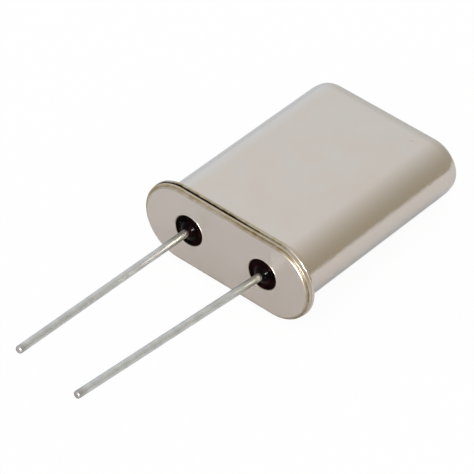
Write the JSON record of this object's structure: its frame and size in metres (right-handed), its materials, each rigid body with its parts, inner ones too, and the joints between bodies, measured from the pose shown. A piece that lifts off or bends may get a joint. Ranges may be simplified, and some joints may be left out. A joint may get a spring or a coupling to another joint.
{
  "type": "quartz crystal unit",
  "caption": "Quartz crystal unit: drawn metal can with rounded ends, welded to a flanged header, two wire leads through dark glass seals.",
  "frame": {"origin": "middle of the header's outer (seating) face, midway between the two leads", "axes": "+Y up the can away from the leads, +X across both leads, +Z the flat side that faces up as the unit lies"},
  "size_m": [0.011, 0.0262, 0.0046],
  "materials": {
    "can_sheet": "satin nickel plate on drawn sheet",
    "header_plate": "satin nickel plate on stamped steel",
    "seal_glass": "dark fused glass, glossy and opaque",
    "lead_wire": "bright tin plate on drawn wire",
    "clip_strip": "rolled nickel alloy strip",
    "quartz": "lapped and etched quartz",
    "silver_film": "evaporated silver",
    "silver_cement": "silver-filled cement"
  },
  "bodies": {
    "root": {"can": "can_sheet", "header": "header_plate", "glass_seal_left": "seal_glass", "glass_seal_right": "seal_glass", "lead_left": "lead_wire", "lead_right": "lead_wire", "spring_clip_left": "clip_strip", "spring_clip_right": "clip_strip", "quartz_blank": "quartz", "electrode_front": "silver_film", "electrode_back": "silver_film", "cement_left": "silver_cement", "cement_right": "silver_cement"}
  },
  "joints": []
}
